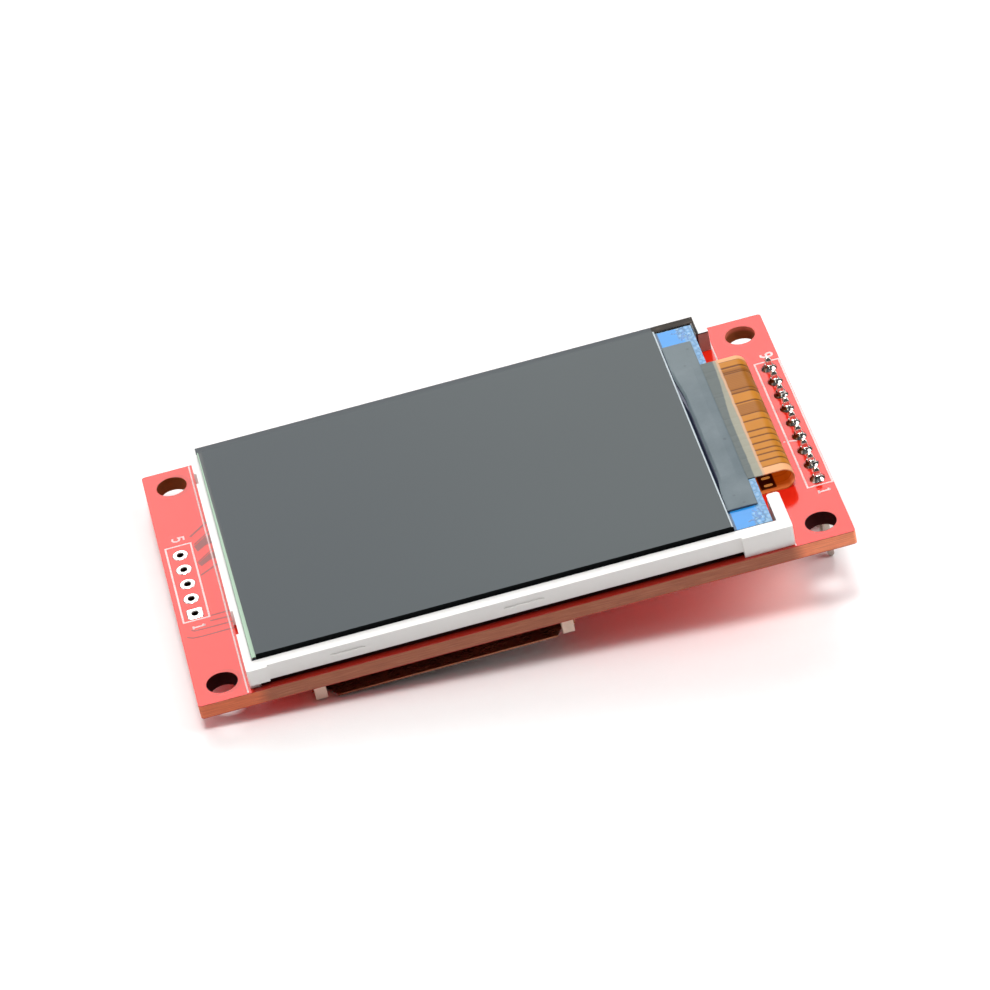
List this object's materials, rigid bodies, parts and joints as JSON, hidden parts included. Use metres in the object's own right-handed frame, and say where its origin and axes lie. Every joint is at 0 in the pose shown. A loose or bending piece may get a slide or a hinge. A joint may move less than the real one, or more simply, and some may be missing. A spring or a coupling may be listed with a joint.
{
  "type": "tft display module",
  "caption": "Flat rectangular colour display panel on a red circuit board, with corner mounting holes, a pin header along one short edge and a card slot on the back.",
  "frame": {"origin": "centre of the four corner mounting holes, on the back face of the circuit board", "axes": "+Z out of the display face, +X along the long side towards the pin header, +Y along the short side"},
  "size_m": [0.067, 0.04, 0.0127],
  "materials": {
    "red_board": "glossy solder mask on glass epoxy",
    "white_plastic": "satin moulded plastic",
    "reflector_white": "white film",
    "clear_acrylic": "clear moulded acrylic",
    "diffuser": "frosted film",
    "prism": "fine ribbed clear film",
    "black_tape": "thin black film tape",
    "polarizer_grey": "grey polarizer film",
    "cell_glass": "polished display glass",
    "ledge_glass": "polished display glass with thin conductor pattern",
    "silicon": "bare die",
    "grey_tape": "grey film tape",
    "amber_film": "amber polyimide film over copper",
    "led_white": "white package with pale yellow phosphor",
    "foam_tape": "white foam tape",
    "black_plastic": "glass-filled moulded plastic",
    "tinned_pins": "tin-plated brass",
    "solder": "bright solder",
    "beige_plastic": "moulded heat-proof plastic",
    "socket_steel": "stamped stainless sheet",
    "spring_gold": "gold-plated spring strip",
    "epoxy_black": "moulded epoxy",
    "tinned_lead": "tin-plated strip",
    "resistor_black": "glazed film on white ceramic, tinned ends",
    "capacitor_tan": "fired ceramic, tinned ends",
    "silkscreen": "white printed ink",
    "pad_metal": "tinned copper pad"
  },
  "bodies": {
    "root": {"pcb": "red_board", "foam_tape": "foam_tape", "reflector_sheet": "reflector_white", "light_guide": "clear_acrylic", "diffuser_film": "diffuser", "prism_film_lower": "prism", "prism_film_upper": "prism", "lcd_frame": "white_plastic", "rim_tape": "black_tape", "edge_tape": "black_tape", "rear_polarizer": "polarizer_grey", "tft_glass": "ledge_glass", "color_filter_glass": "cell_glass", "front_polarizer": "polarizer_grey", "driver_ic": "silicon", "driver_tape": "grey_tape", "flex_cable": "amber_film", "led_flex": "amber_film", "backlight_leds": "led_white", "header_body": "black_plastic", "header_pins": "tinned_pins", "header_solder": "solder", "sd_housing": "beige_plastic", "sd_shell": "socket_steel", "sd_contacts": "spring_gold", "sd_switch": "spring_gold", "regulator_body": "epoxy_black", "regulator_leads": "tinned_lead", "transistor_body": "epoxy_black", "transistor_leads": "tinned_lead", "chip_resistors": "resistor_black", "chip_capacitors": "capacitor_tan"}
  },
  "joints": []
}
